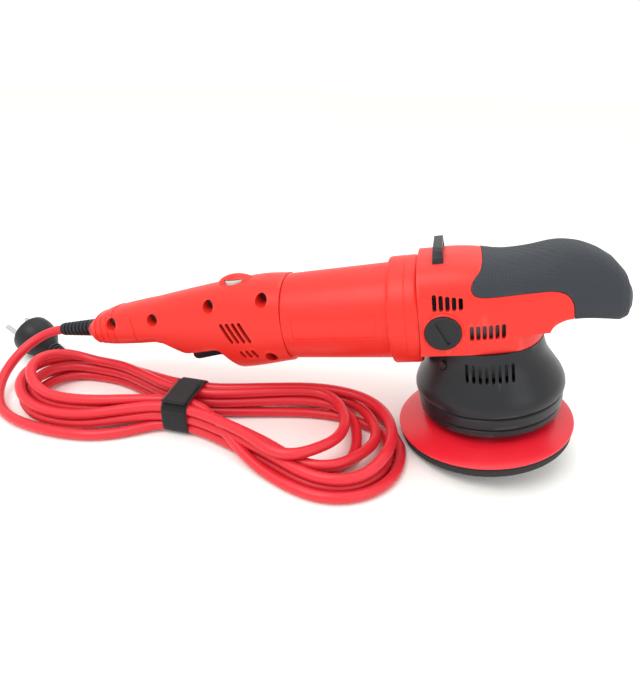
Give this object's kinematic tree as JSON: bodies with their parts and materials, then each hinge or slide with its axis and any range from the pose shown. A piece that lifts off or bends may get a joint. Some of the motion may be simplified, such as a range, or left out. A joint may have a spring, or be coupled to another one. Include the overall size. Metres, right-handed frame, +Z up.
{
  "type": "dual action polisher",
  "caption": "Random-orbit car polisher with a long inline body, bevel gear head, eccentric backing plate, rubber front grip and a mains lead tied in a bow.",
  "frame": {"origin": "where the spindle axis meets the face of the hook disc, on mount pad_face", "axes": "+Z up, +X towards the front grip, +Y to the machine's left; the machine leans back 10.9 degrees on the rear rim of its plate, so the spindle axis is (-0.1891, 0, 0.98196)"},
  "size_m": [0.5083, 0.166, 0.156],
  "materials": {
    "red_shell": "fine moulded satin",
    "red_plate": "smooth satin",
    "red_cord": "satin jacket",
    "black_plastic": "fine grain",
    "grip_rubber": "fine ribbed, matte",
    "cushion_foam": "closed-cell foam",
    "hook_fabric": "hook fastener",
    "webbing": "loop-pile strap",
    "pale_plastic": "smooth",
    "steel": "turned",
    "cast_alloy": "die cast",
    "iron": "laminated and oiled",
    "copper": "enamelled copper wire",
    "brass": "stamped",
    "carbon": "pressed carbon"
  },
  "bodies": {
    "machine": {"head_cover": "red_shell", "motor_housing": "red_shell", "handle_shell_left": "red_shell", "handle_shell_right": "red_shell", "cord_coil_rear": "red_cord", "cord_coil_front": "red_cord", "cord_lead": "red_cord", "cord_tail": "red_cord", "shroud": "black_plastic", "rest_bail": "black_plastic", "side_cap_left": "black_plastic", "side_cap_right": "black_plastic", "switch_body": "black_plastic", "speed_module": "black_plastic", "cord_sleeve": "black_plastic", "plug_body": "black_plastic", "rear_bracket": "black_plastic", "front_grip": "grip_rubber", "cord_strap": "webbing", "motor_bearing_front": "steel", "motor_bearing_rear": "steel", "spindle_bearing_lower": "steel", "spindle_bearing_upper": "steel", "shroud_screw_left": "steel", "shroud_screw_right": "steel", "handle_screw_1": "steel", "handle_screw_2": "steel", "handle_screw_3": "steel", "handle_screw_4": "steel", "handle_screw_5": "steel", "trigger_pin": "steel", "plug_pin_left": "steel", "plug_pin_right": "steel", "gear_case": "cast_alloy", "bearing_plate": "cast_alloy", "stator_core": "iron", "field_coil_upper": "copper", "field_coil_lower": "copper", "brush_holder_left": "brass", "brush_holder_right": "brass", "carbon_brush_left": "carbon", "carbon_brush_right": "carbon"},
    "eccentric": {"eccentric_hub": "steel", "plate_bearing": "steel", "counterweight": "iron", "spindle": "steel", "crown_gear": "steel"},
    "plate": {"backing_plate": "red_plate", "plate_cushion": "cushion_foam", "hook_disc": "hook_fabric", "plate_screw": "steel", "plate_shaft": "steel"},
    "armature": {"armature_shaft": "steel", "pinion": "steel", "cooling_fan": "black_plastic", "armature_core": "iron", "commutator": "copper"},
    "trigger_lever": {"trigger": "black_plastic"},
    "lock_pin": {"lock_button": "black_plastic"},
    "dial_wheel": {"speed_dial": "pale_plastic"}
  },
  "joints": [
    {"name": "spindle_spin", "type": "hinge", "parent": "machine", "child": "eccentric", "pos_m": [0, 0, 0], "axis": [-0.1891, 0, 0.982], "continuous": true},
    {"name": "plate_spin", "type": "hinge", "parent": "eccentric", "child": "plate", "pos_m": [-0.00443, -0.00599, -0.00085], "axis": [-0.1891, 0, 0.982], "continuous": true},
    {"name": "armature_spin", "type": "hinge", "parent": "machine", "child": "armature", "pos_m": [-0.10681, 0, 0.07872], "axis": [0.982, 0, 0.1891], "continuous": true},
    {"name": "trigger_pull", "type": "hinge", "parent": "machine", "child": "trigger_lever", "pos_m": [-0.21566, 0, 0.03841], "axis": [0, 1, 0], "range_deg": [0, 8], "stiffness_Nm_per_rad": 0.5, "springref_deg": -11.46},
    {"name": "lock_push", "type": "slide", "parent": "machine", "child": "lock_pin", "axis": [0, -1, 0], "range_m": [0, 0.003], "stiffness_N_per_m": 300, "springref_m": -0.001},
    {"name": "dial_turn", "type": "hinge", "parent": "machine", "child": "dial_wheel", "pos_m": [-0.20213, 0, 0.09245], "axis": [-0.1891, 0, 0.982], "range_deg": [0, 270]}
  ],
  "couplings": [
    {"joint": "armature_spin", "follows": "spindle_spin", "ratio": -4}
  ]
}
